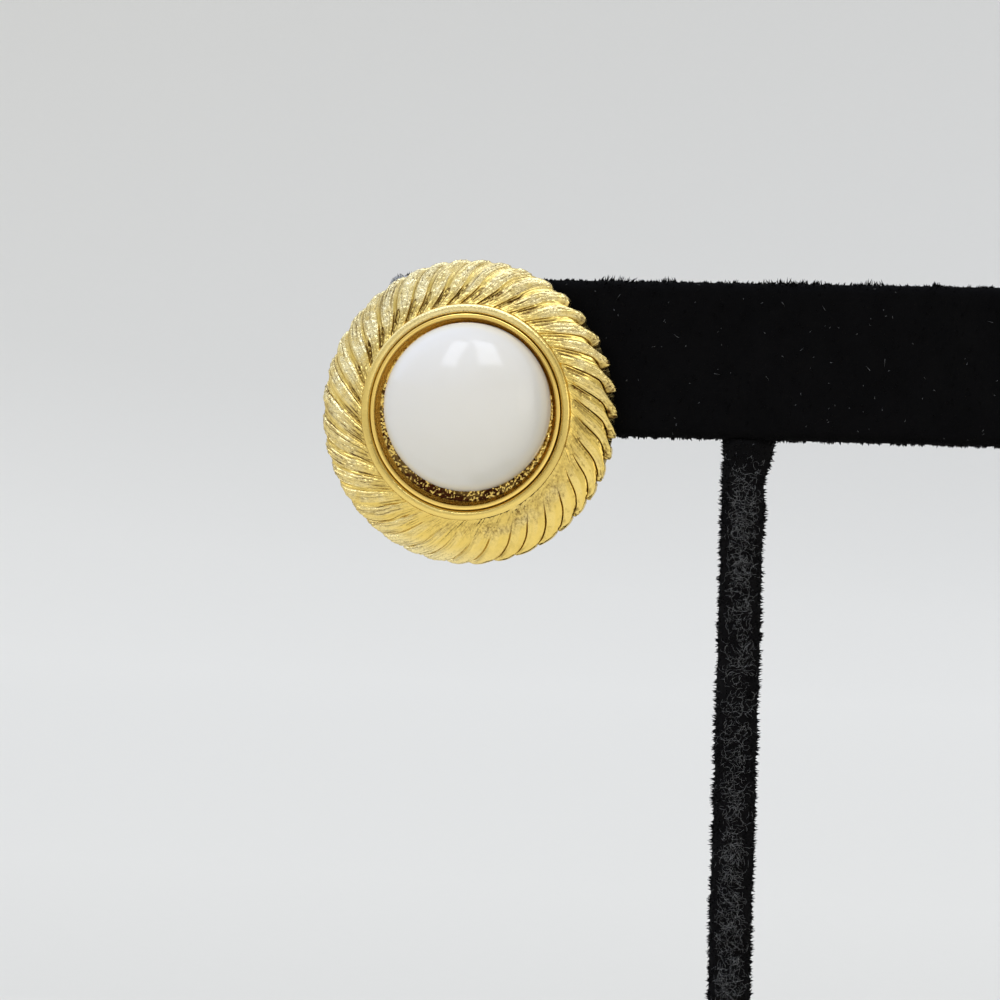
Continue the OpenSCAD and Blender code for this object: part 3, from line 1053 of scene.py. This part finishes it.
def build_velvet_bar(sizes, material):
    """The crossbar, with fuller pile along its edges, a little lint, and pale hairs at one corner that paint
    its sheen.
    """
    size = BAR_HIGH - BAR_LOW
    middle = (BAR_LOW + BAR_HIGH) / 2
    # The slab's own axes are the bar's depth, height and length.
    form, faces, caps = slab(size[1], size[2], 1.2 * MM, size[0], 60, (4, 10))
    verts = np.column_stack([BAR_LOW[0] + form[:, 2], middle[1] + form[:, 0], middle[2] + form[:, 1]])

    def edges(places, normals):
        """The pile is fullest on the narrow sides and the ends."""
        return blend(0.3, 1.0, ease(0.3, 0.8, np.abs(normals[:, 2]) + np.abs(normals[:, 0])))

    def front(places, normals):
        """Lint lies on the front."""
        return np.clip(-normals[:, 1], 0.02, 1)

    def corner(places, normals):
        """Pale hairs paint the velvet's sheen at the front's upper left corner."""
        off = np.hypot(places[:, 0] - BAR_LOW[0], places[:, 2] - BAR_HIGH[2])
        behind = places[:, 1] - BAR_LOW[1]
        facing = np.clip(normals[:, 2] - normals[:, 1], 0, 1)
        return facing * (1 - ease(1.0 * MM, 3.0 * MM, off)) * (1 - ease(0.3 * MM, 1.8 * MM, behind))

    cloth = verts, faces
    fibres = pile(cloth, sizes.bar_fibres, sizes, teeth=0.8, stray=0.03, reach=1.15, weight=edges, seed=21)
    lint = [
        (0.27, hairs(cloth, 140, HairSize(0.1, 0.35, 0.05, 0.3), front, seed=31)),
        (0.27, hairs(cloth, 16, HairSize(0.5, 1.3, 0.035, 0.35), front, seed=32)),
        # Painted sheen: pale hairs at the front's upper left corner
        (0.8, hairs(cloth, 700, HairSize(0.15, 0.5, 0.12, 0.15), corner, seed=36)),
    ]
    settle_velvet("velvet_bar", (verts, faces, caps), fibres, lint, material, "stand_bar")


def build_velvet_post(sizes, material):
    """The upright, lumpy, bunched up under the bar and worn to a tangle down the front, whose pale curls also
    paint its sheen.
    """
    middle = (POST_LOW + POST_HIGH) / 2
    radius = float(POST_HIGH[0] - POST_LOW[0]) / 2
    columns, rings = 48, 90
    a = circle(columns)
    z = np.linspace(0, float(POST_HIGH[2] - POST_LOW[2]), rings)[:, None] + 0 * a
    below = z[-1] - z
    # The cloth bunches up on the right where the post meets the bar.
    to_right = np.clip(np.cos(a - 0.3), 0, 1) ** 1.2
    bunch = 0.95 * MM * (1 - ease(1.2 * MM, 5.2 * MM, below)) * to_right
    bunch = bunch + 0.2 * MM * (1 - ease(0, 1.5 * MM, below))
    even_post = np.stack([radius * np.cos(a) + 0 * z, radius * np.sin(a) + 0 * z, z], -1)
    r = radius + bunch + 0.10 * MM * grain(even_post, 2.6 * MM, 24)
    x, y = middle[0] + r * np.cos(a), middle[1] + r * np.sin(a)
    verts = np.stack([x, y, POST_LOW[2] + z], -1).reshape(-1, 3)
    faces = ring_faces(rings, columns)

    def even(places, normals):
        """The pile is even all over."""
        return np.ones(len(places))

    def painted_sheen(places, normals):
        """The pile is worn and matted down the front, below the bunched cloth, and its pale curls there paint
        the sheen of the light on it.
        """
        facing = ease(0.72, 0.97, normals @ np.array([0.21, -0.978, 0]))
        low = ease(1.2 * MM, 5 * MM, POST_HIGH[2] - places[:, 2])
        return low * facing * np.clip(0.7 + 0.6 * grain(places, 2.6 * MM, 26), 0.08, 1) + 0.02

    cloth = verts, faces
    fibres = pile(cloth, sizes.post_fibres, sizes, teeth=0.85, stray=0.2, reach=1.5, weight=even, seed=22)
    lint = [
        # Pale curls down the front: a worn tangle, and painted sheen
        (0.45, curls(cloth, 2400, HairSize(0.3, 1.3, 0.02, 0.2), painted_sheen, axis=middle[:2], seed=33)),
        (0.3, hairs(cloth, 40, HairSize(0.4, 1.0, 0.035, 0.3), even, seed=34)),
    ]
    body = verts, faces, end_caps(rings, columns)
    settle_velvet("velvet_post", body, fibres, lint, material, "stand_post")


def build_velvet_base(sizes, material):
    """The base, with its pile on the sides and the top."""
    size = BASE_HIGH - BASE_LOW
    middle = (BASE_LOW + BASE_HIGH) / 2
    form, faces, caps = slab(size[0], size[1], 4 * MM, size[2], 6, (30, 22))
    verts = form + [middle[0], middle[1], BASE_LOW[2]]
    # The pile on top stands on cells of its own.
    inset, wide, deep = 2 * MM, 40, 30
    xs = np.linspace(BASE_LOW[0] + inset, BASE_HIGH[0] - inset, wide)
    ys = np.linspace(BASE_LOW[1] + inset, BASE_HIGH[1] - inset, deep)
    top = np.array([(x, y, BASE_HIGH[2]) for y in ys for x in xs])
    j, i = np.divmod(np.arange((deep - 1) * (wide - 1)), wide - 1)
    cells = np.stack([j * wide + i, j * wide + i + 1, (j + 1) * wide + i + 1, (j + 1) * wide + i], -1)
    cloth = np.concatenate([verts, top]), np.concatenate([faces, cells + len(verts)])

    def above(places, normals):
        """The underside has no pile."""
        return np.where(places[:, 2] < BASE_LOW[2] + 0.8 * MM, 0.0, 1.0)

    fibres = pile(cloth, sizes.base_fibres, sizes, teeth=0.55, stray=0.03, reach=0.9, weight=above, seed=23)
    lint = [(0.27, hairs(cloth, 160, HairSize(0.1, 0.5, 0.04, 0.3), above, seed=35))]
    settle_velvet("velvet_base", (verts, faces, caps), fibres, lint, material, "stand_base")


# Materials


def feed(tree, made, sockets):
    """Gives each named or numbered socket of a node its number, or the output that feeds it."""
    for key, value in sockets.items():
        if isinstance(value, bpy.types.NodeSocket):
            tree.links.new(value, made.inputs[key])
        else:
            made.inputs[key].default_value = value


def node(tree, kind, sockets=None, **settings):
    """A node with its settings and with what feeds its sockets."""
    made = tree.nodes.new(kind)
    for key, value in settings.items():
        setattr(made, key, value)
    feed(tree, made, sockets or {})
    return made


def place_of(tree, kind="Object"):
    """Where a point lies."""
    return node(tree, "ShaderNodeTexCoord").outputs[kind]


def noise(tree, place, scale, detail, roughness=0.5):
    """Cloudy noise from 0 to 1."""
    sockets = {"Vector": place, "Scale": scale, "Detail": detail, "Roughness": roughness}
    return node(tree, "ShaderNodeTexNoise", sockets).outputs["Fac"]


def ranged(tree, value, low, high, from_low=0.0, from_high=1.0):
    """A value brought from one range into another, and kept inside it."""
    sockets = {"Value": value, "From Min": from_low, "From Max": from_high, "To Min": low, "To Max": high}
    return node(tree, "ShaderNodeMapRange", sockets).outputs["Result"]


def sum_of(tree, operation, *values, clamp=False):
    """What a sum or product of numbers and outputs comes to."""
    made = node(tree, "ShaderNodeMath", dict(enumerate(values)), operation=operation, use_clamp=clamp)
    return made.outputs["Value"]


def mixed(tree, share, a, b, blend_type="MIX"):
    """A mix of two colours, each given as a tone or as the output that makes it."""
    a, b = (tone if isinstance(tone, bpy.types.NodeSocket) else (*tone, 1) for tone in (a, b))
    sockets = {"Factor": share, "A": a, "B": b}
    return node(tree, "ShaderNodeMix", sockets, data_type="RGBA", blend_type=blend_type).outputs["Result"]


def ramp(tree, value, stops):
    """A value turned into tones, given as (position, grey or colour)."""
    made = node(tree, "ShaderNodeValToRGB", {"Fac": value})
    elements = made.color_ramp.elements
    while len(elements) < len(stops):
        elements.new(0.5)
    for element, (position, tone) in zip(elements, stops):
        element.position = position
        element.color = (*tone, 1) if isinstance(tone, tuple) else (tone, tone, tone, 1)
    return made.outputs["Color"]


def bumped(tree, height, strength, distance):
    """The surface's normals, raised by a height."""
    sockets = {"Strength": strength, "Distance": distance, "Height": height}
    return node(tree, "ShaderNodeBump", sockets).outputs["Normal"]


def mask_of(tree, name):
    """The number that each point of a mesh has under a name."""
    return node(tree, "ShaderNodeAttribute", attribute_name=name, attribute_type="GEOMETRY").outputs["Fac"]


def shade(tone, share):
    """A tone made darker or paler by a share."""
    return [c * share for c in tone]


def principled(name):
    """A new material, with its nodes and its shader."""
    material = bpy.data.materials.new(name)
    material.use_nodes = True
    return material, material.node_tree, material.node_tree.nodes["Principled BSDF"]


GOLD_TONES = ("Polished", "Stippled", "Patina")
GOLD_MASKS = ("Ground", "Tarnish", "Lined", "Strand", "Reach")


def plated_gold_group():
    """Colour, roughness and height of gold plate, by how stippled and how tarnished it is."""
    group = bpy.data.node_groups.new("plated_gold", "ShaderNodeTree")
    inputs = [(tone, "Color") for tone in GOLD_TONES] + [(mask, "Float") for mask in GOLD_MASKS]
    outputs = [("Color", "Color"), ("Roughness", "Float"), ("Height", "Float")]
    for in_out, sockets in (("INPUT", inputs), ("OUTPUT", outputs)):
        for label, kind in sockets:
            group.interface.new_socket(name=label, in_out=in_out, socket_type="NodeSocket" + kind)
    given = node(group, "NodeGroupInput").outputs
    place = place_of(group)
    cloud = noise(group, place, 420.0, 3.0, 0.6)
    speck = noise(group, place, 6500.0, 1.0, 0.6)
    # Fine lines are drawn out along the ribs.
    drawn = {"X": given["Strand"], "Y": sum_of(group, "MULTIPLY", given["Reach"], 0.11)}
    line = noise(group, node(group, "ShaderNodeCombineXYZ", drawn).outputs["Vector"], 3600.0, 2.5, 0.6)

    # Tarnish also lies in the dots of the stippled ground and in the fine lines.
    spread = ranged(group, cloud, 0.75, 1.2, 0.3, 0.7)
    amount = sum_of(group, "MULTIPLY", given["Tarnish"], spread, clamp=True)
    for texture, share, low, high, most in (
        (speck, "Ground", 0.43, 0.33, 0.6),
        (line, "Lined", 0.45, 0.36, 0.38),
    ):
        pits = ranged(group, texture, 0.0, most, low, high)
        held = sum_of(group, "MULTIPLY", pits, given[share])
        amount = sum_of(group, "ADD", amount, held, clamp=True)
    clean = mixed(group, given["Ground"], given["Polished"], given["Stippled"])

    rough = ranged(group, given["Ground"], 0.13, 0.24)
    dull = sum_of(group, "MULTIPLY_ADD", amount, 0.25, rough)
    relief = sum_of(group, "MULTIPLY", speck, ranged(group, given["Ground"], 0.04, 1.0))
    ridges = sum_of(group, "MULTIPLY", line, given["Lined"])
    results = {
        "Color": mixed(group, amount, clean, given["Patina"]),
        "Roughness": sum_of(group, "ADD", dull, ranged(group, cloud, -0.04, 0.06, 0.3, 0.7)),
        "Height": sum_of(group, "ADD", relief, ridges),
    }
    node(group, "NodeGroupOutput", results)
    return group


def gold_material(name, tones, masks=("ground", "tarnish"), **plain):
    """Gold plate in three tones, with the masks that its mesh has and plain numbers for the rest."""
    material, tree, shader = principled(name)
    given = {label: (*tone, 1) for label, tone in zip(GOLD_TONES, tones)}
    given.update((mask.capitalize(), mask_of(tree, mask)) for mask in masks)
    given.update((mask.capitalize(), value) for mask, value in plain.items())
    group = bpy.data.node_groups.get("plated_gold") or plated_gold_group()
    gold = node(tree, "ShaderNodeGroup", given, node_tree=group).outputs
    normal = bumped(tree, gold["Height"], 0.9, 0.09 * MM)
    look = {"Base Color": gold["Color"], "Metallic": 1.0, "Roughness": gold["Roughness"], "Normal": normal}
    feed(tree, shader, look)
    return material


def stone_material(white):
    """Glossy opaque white, faintly clouded, with a little light let into it."""
    material, tree, shader = principled("white_stone")
    cloud = noise(tree, place_of(tree), 90.0, 2.0)
    look = {
        "Base Color": mixed(tree, cloud, white, shade(white, 0.975)),
        "Roughness": ranged(tree, cloud, 0.08, 0.12),
        "IOR": 1.5,
        "Subsurface Weight": 0.3,
        "Subsurface Radius": (1.0, 0.9, 0.8),
        "Subsurface Scale": 0.8 * MM,
    }
    feed(tree, shader, look)
    return material


def velvet_material(name, finishes, lift):
    """Black velvet: dark pile with painted sheen, paler by lift and palest at the fibres' tips, and pale
    lint.
    """
    material, tree, shader = principled(name)
    nap = noise(tree, place_of(tree), 260.0, 4.0, 0.65)
    black = finishes.velvet
    # The pile's tone wanders with the nap, its paler end raised by lift as painted sheen.
    dark = mixed(tree, nap, shade(black, 0.55), shade(black, 1.7 * lift))
    # The fibres' tips are painted paler still: a painted highlight where they catch the light.
    tips = mixed(tree, mask_of(tree, "fibre_tip"), dark, shade(black, 3.2 * lift))
    look = {
        "Base Color": mixed(tree, mask_of(tree, "lint"), tips, finishes.lint),
        "Roughness": 0.85,
        "Specular IOR Level": 0.03,
        "Normal": bumped(tree, nap, 0.6, 0.1 * MM),
    }
    feed(tree, shader, look)
    return material


# Tone of the paper from front to back, so that it photographs evenly: (metres behind the stand, share)
PAPER_TONES = (
    (-2.6, 0.94),
    (-0.05, 0.94),
    (0.12, 0.685),
    (0.3, 0.75),
    (0.9, 0.83),
    (1.15, 0.815),
    (1.4, 0.755),
    (2.6, 0.755),
)


def paper_material(pale):
    """Pale matt paper, with its tone from front to back."""
    material, tree, shader = principled("studio_paper")
    place = place_of(tree)
    tone = mixed(tree, noise(tree, place, 300.0, 3.0), pale, shade(pale, 0.985))
    front, back = PAPER_TONES[0][0], PAPER_TONES[-1][0]
    depth = node(tree, "ShaderNodeSeparateXYZ", {"Vector": place}).outputs["Y"]
    stops = [((metres - front) / (back - front), share) for metres, share in PAPER_TONES]
    share = ramp(tree, ranged(tree, depth, 0.0, 1.0, front, back), stops)
    look = {
        "Base Color": mixed(tree, 1.0, tone, share, "MULTIPLY"),
        "Roughness": 0.9,
        "Specular IOR Level": 0.1,
    }
    feed(tree, shader, look)
    return material


# The studio

# Where the camera stands from the earring's middle, and how it is turned
CAMERA_FROM_EARRING = Vector((117.5, -434.7, -3.7)) * MM
CAMERA_TURN = math.radians(14.69)
CAMERA_PITCH = math.radians(0.81)
CAMERA_ROLL = math.radians(1.62)
SENSOR = 36.0
LENS = 140.0

# Tones of the tent round the object: each is a direction, and the light by the angle from it, from straight
# away from it (0) to straight toward it (1). The first is the height, the second the camera's side.
TENT = (
    (
        (0.0, 0.0, 1.0),
        (
            (0.0, (1.03, 1.02, 0.98)),
            (0.3, (0.84, 0.82, 0.78)),
            (0.45, (0.85, 0.83, 0.76)),
            (0.62, (0.93, 0.94, 0.92)),
            (0.85, (1.13, 1.165, 1.24)),
            (1.0, (1.19, 1.225, 1.3)),
        ),
    ),
    (
        tuple(CAMERA_FROM_EARRING.normalized()),
        ((0.0, 1.03), (0.55, 1.03), (0.9, 1.0), (0.96, 0.8), (0.985, 0.62), (1.0, 0.4)),
    ),
    (
        (-0.72, -0.42, 0.55),
        ((0.0, 0.97), (0.62, 1.0), (0.78, (1.3, 1.38, 1.6)), (1.0, (1.62, 1.76, 2.25))),
    ),
    (
        (-0.634, -0.77, -0.05),
        ((0.0, 1.0), (0.8, 1.0), (0.93, (0.7, 0.68, 0.64)), (1.0, (0.56, 0.53, 0.49))),
    ),
    (
        (0.55, -0.83, 0.0),
        ((0.0, 1.0), (0.8, 1.0), (0.93, (0.69, 0.66, 0.58)), (1.0, (0.56, 0.52, 0.43))),
    ),
)
TENT_STRENGTH = 0.755

# Each light is a place from the earring's middle, a width, a height, a power and a colour. Two tall windows
# stand above the camera, and their reflections lie high on the stone.
LIGHTS = {
    "window_left": ((-0.257, -0.513, 0.694), 0.22, 0.46, 0.85, (0.95, 1.0, 1.12)),
    "window_right": ((0.174, -0.433, 0.769), 0.36, 0.6, 1.9, (0.95, 1.0, 1.12)),
    "fill_right": ((1.1, -0.4, 0.0), 0.9, 0.9, 2.0, (1.0, 0.95, 0.86)),
    "bounce": ((0.02, -0.11, -0.135), 0.3, 0.16, 0.55, (0.92, 1.0, 1.08)),
}


def build_camera():
    """The camera, at the photograph's viewing angle."""
    data = bpy.data.cameras.new("camera")
    data.sensor_width = SENSOR
    data.lens = LENS
    data.clip_start, data.clip_end = 0.01, 20
    camera = add_object("camera", data)
    level = math.cos(CAMERA_PITCH)
    ahead = Vector((-math.sin(CAMERA_TURN) * level, math.cos(CAMERA_TURN) * level, -math.sin(CAMERA_PITCH)))
    right = Vector((math.cos(CAMERA_TURN), math.sin(CAMERA_TURN), 0))
    up = right.cross(ahead)
    rolled_right = right * math.cos(CAMERA_ROLL) + up * math.sin(CAMERA_ROLL)
    rolled_up = up * math.cos(CAMERA_ROLL) - right * math.sin(CAMERA_ROLL)
    turn = Matrix((rolled_right, rolled_up, -ahead)).transposed().to_4x4()
    camera.matrix_world = Matrix.Translation(Vector(MIDDLE) + CAMERA_FROM_EARRING) @ turn
    bpy.context.scene.camera = camera


def build_paper(material):
    """A wide pale floor that rises all round into a low wall."""
    flat_r, rise_r = 0.9, 1.6
    profile = [(r, 0.0) for r in (0.02, 0.1, 0.3, 0.6, flat_r)]
    profile += [
        (flat_r + rise_r * math.sin(k), rise_r * (1 - math.cos(k))) for k in np.linspace(0.06, 1.0, 22)
    ]
    columns = 96
    a = circle(columns)
    r, z = by_column(profile, columns)
    verts = np.stack([r * np.cos(a), r * np.sin(a), z + BASE_LOW[2]], -1).reshape(-1, 3)
    faces = [*ring_faces(len(profile), columns), *fan_faces(len(verts), 0, columns, False)]
    verts = np.concatenate([verts, [[0, 0, BASE_LOW[2]]]])
    floor = add_object("studio_floor", new_mesh("studio_floor", verts, faces), material)


def build_world():
    """A bright tent, brightest overhead and dimmer on the camera's side."""
    world = bpy.data.worlds.new("studio")
    bpy.context.scene.world = world
    world.use_nodes = True
    tree = world.node_tree
    place = place_of(tree, "Generated")
    tones = []
    for direction, stops in TENT:
        facing = node(tree, "ShaderNodeVectorMath", {0: place, 1: direction}, operation="DOT_PRODUCT")
        tones.append(ramp(tree, ranged(tree, facing.outputs["Value"], 0.0, 1.0, -1.0, 1.0), stops))
    light = tones[0]
    for tone in tones[1:]:
        both = node(tree, "ShaderNodeVectorMath", {0: light, 1: tone}, operation="MULTIPLY")
        light = both.outputs["Vector"]
    feed(tree, tree.nodes["Background"], {"Color": light, "Strength": TENT_STRENGTH})


def build_lights():
    """Soft lights that face the earring. The low bounce shows in no reflection."""
    for name, (away, width, height, power, colour) in LIGHTS.items():
        data = bpy.data.lights.new(name, "AREA")
        data.shape = "RECTANGLE"
        data.size, data.size_y = width, height
        data.energy = power
        data.color = colour
        light = add_object(name, data)
        light.location = Vector(MIDDLE) + Vector(away)
        light.rotation_euler = (-Vector(away)).to_track_quat("-Z", "Y").to_euler()
        light.visible_camera = False
        light.visible_glossy = name != "bounce"


# Operators


class EARRING_OT_studio(bpy.types.Operator):
    """Sets up the camera, the pale paper and the soft lights"""

    bl_idname = "earring.studio"
    bl_label = "Studio"
    bl_options = {"REGISTER", "UNDO"}

    def execute(self, context):
        build_camera()
        build_paper(paper_material(context.scene.finishes.paper))
        build_world()
        build_lights()
        context.scene.view_settings.view_transform = "Standard"
        context.scene.view_settings.look = "None"
        return {"FINISHED"}


class EARRING_OT_band(bpy.types.Operator):
    """Builds the fluted gold band with its smooth rim"""

    bl_idname = "earring.band"
    bl_label = "Fluted Band"
    bl_options = {"REGISTER", "UNDO"}

    def execute(self, context):
        scene, look = context.scene, context.scene.finishes
        masks = [mask.lower() for mask in GOLD_MASKS]
        material = gold_material("gold_band", (look.gold, look.ground, look.patina), masks)
        build_fluted_frame(scene.rib_sizes, scene.band_sizes, material)
        return {"FINISHED"}


class EARRING_OT_setting(bpy.types.Operator):
    """Builds the cup that holds the stone"""

    bl_idname = "earring.setting"
    bl_label = "Stone Setting"
    bl_options = {"REGISTER", "UNDO"}

    def execute(self, context):
        look = context.scene.finishes
        # The cup wall tone is a painted reflection.
        material = gold_material("gold_cup", (look.cup, look.cup_wall_painted_reflection, look.dirt))
        build_stone_cup(context.scene.band_sizes, material)
        return {"FINISHED"}


class EARRING_OT_stone(bpy.types.Operator):
    """Builds the domed white stone"""

    bl_idname = "earring.stone"
    bl_label = "Stone"
    bl_options = {"REGISTER", "UNDO"}

    def execute(self, context):
        build_stone(stone_material(context.scene.finishes.stone))
        return {"FINISHED"}


class EARRING_OT_clip(bpy.types.Operator):
    """Builds the ear clip behind the earring"""

    bl_idname = "earring.clip"
    bl_label = "Ear Clip"
    bl_options = {"REGISTER", "UNDO"}

    def execute(self, context):
        look = context.scene.finishes
        tones = (look.gold, look.ground, look.patina)
        build_ear_clip(gold_material("gold_clip", tones, (), ground=0.25, tarnish=0.05))
        return {"FINISHED"}


class EARRING_OT_stand(bpy.types.Operator):
    """Builds the velvet-covered bar, post and base"""

    bl_idname = "earring.stand"
    bl_label = "Velvet Stand"
    bl_options = {"REGISTER", "UNDO"}

    def execute(self, context):
        sizes, look = context.scene.velvet_sizes, context.scene.finishes
        build_velvet_bar(sizes, velvet_material("velvet_bar", look, 1.0))
        # The post's velvet is a paler copy: painted sheen from the front light.
        build_velvet_post(sizes, velvet_material("velvet_post", look, 2.2))
        build_velvet_base(sizes, velvet_material("velvet_base", look, 1.0))
        return {"FINISHED"}


OPERATORS = (
    EARRING_OT_studio,
    EARRING_OT_band,
    EARRING_OT_setting,
    EARRING_OT_stone,
    EARRING_OT_clip,
    EARRING_OT_stand,
)


class EARRING_PT_panel(bpy.types.Panel):
    """Lists the earring's pieces"""

    bl_idname = "EARRING_PT_panel"
    bl_label = "Earring"
    bl_space_type = "VIEW_3D"
    bl_region_type = "UI"
    bl_category = "Earring"

    def draw(self, context):
        column = self.layout.column(align=True)
        for operator in OPERATORS:
            column.operator(operator.bl_idname)
        for name, group in SETTINGS.items():
            box = self.layout.box()
            settings = getattr(context.scene, name)
            for prop in group.__annotations__:
                box.prop(settings, prop)


CLASSES = (*SETTINGS.values(), *OPERATORS, EARRING_PT_panel)


def register():
    for cls in CLASSES:
        bpy.utils.register_class(cls)
    for name, group in SETTINGS.items():
        setattr(bpy.types.Scene, name, PointerProperty(type=group))


def unregister():
    for name in SETTINGS:
        delattr(bpy.types.Scene, name)
    for cls in reversed(CLASSES):
        bpy.utils.unregister_class(cls)


def corners(box):
    """A box as plain lists of numbers."""
    return [[float(x) for x in corner] for corner in box]


def main():
    register()
    for operator in OPERATORS:
        group, name = operator.bl_idname.split(".")
        getattr(getattr(bpy.ops, group), name)()


if __name__ == "__main__":
    main()
